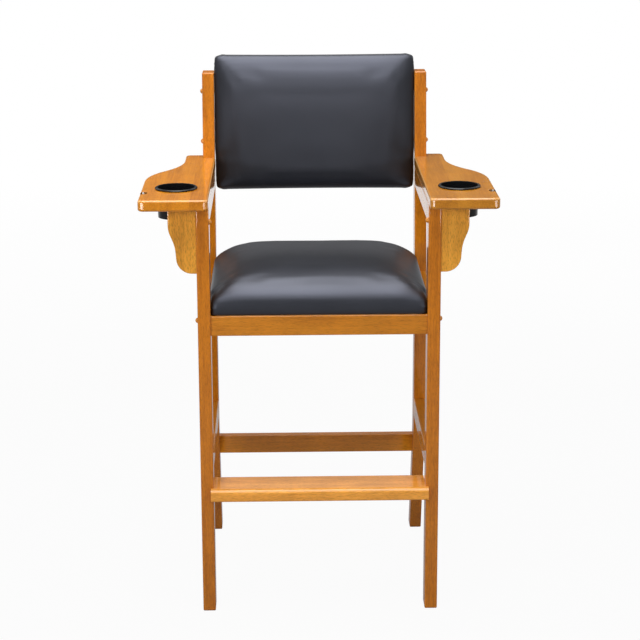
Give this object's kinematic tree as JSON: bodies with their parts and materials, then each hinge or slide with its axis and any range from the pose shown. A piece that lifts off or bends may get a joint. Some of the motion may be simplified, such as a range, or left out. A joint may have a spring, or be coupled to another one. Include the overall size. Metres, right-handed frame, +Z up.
{
  "type": "billiard spectator chair",
  "caption": "Tall wooden spectator armchair with a padded seat and back, wide arms that hold drop-in cups and notches for cues, and a footrest.",
  "frame": {"origin": "on the floor, under the middle of the chair's outline", "axes": "+X to the right as seen from the front, +Y from the front to the back, +Z up"},
  "size_m": [0.763, 0.6118, 1.1846],
  "materials": {
    "lacquered_wood": "honey-coloured hardwood under gloss lacquer",
    "plug_wood": "domed button plugs under gloss lacquer",
    "raw_wood": "unfinished beech",
    "plywood": "unfinished plywood",
    "black_vinyl": "satin black vinyl over foam",
    "plated_steel": "zinc plated",
    "insert_brass": "turned brass",
    "cup_plastic": "moulded black plastic"
  },
  "bodies": {
    "frame": {"left_front_leg": "lacquered_wood", "right_front_leg": "lacquered_wood", "left_rear_leg": "lacquered_wood", "right_rear_leg": "lacquered_wood", "left_seat_rail": "lacquered_wood", "right_seat_rail": "lacquered_wood", "left_side_stretcher": "lacquered_wood", "right_side_stretcher": "lacquered_wood", "left_arm_rail": "lacquered_wood", "right_arm_rail": "lacquered_wood", "left_arm": "lacquered_wood", "right_arm": "lacquered_wood", "left_arm_bracket": "lacquered_wood", "right_arm_bracket": "lacquered_wood", "front_seat_rail": "lacquered_wood", "rear_seat_rail": "lacquered_wood", "rear_stretcher": "lacquered_wood", "footrest": "lacquered_wood", "post_buttons": "plug_wood", "leg_buttons": "plug_wood", "bracket_buttons": "plug_wood", "side_rail_dowels": "raw_wood", "cross_rail_dowels": "raw_wood", "footrest_dowels": "raw_wood", "arm_dowels": "raw_wood", "seat_corner_blocks": "raw_wood", "seat_board": "plywood", "backrest_board": "plywood", "seat_cushion": "black_vinyl", "backrest_cushion": "black_vinyl", "backrest_cover": "black_vinyl", "backrest_bolts": "plated_steel", "seat_rail_bolts": "plated_steel", "bracket_screws": "plated_steel", "arm_screws": "plated_steel", "arm_tail_screws": "plated_steel", "corner_block_screws": "plated_steel", "seat_screws": "plated_steel", "seat_rail_nuts": "plated_steel", "backrest_inserts": "insert_brass"},
    "left_cup": {"left_cup_insert": "cup_plastic"},
    "right_cup": {"right_cup_insert": "cup_plastic"}
  },
  "joints": [
    {"name": "left_cup_lift", "type": "slide", "parent": "frame", "child": "left_cup", "axis": [0, 0, 1], "range_m": [0, 0.08]},
    {"name": "right_cup_lift", "type": "slide", "parent": "frame", "child": "right_cup", "axis": [0, 0, 1], "range_m": [0, 0.08]}
  ]
}
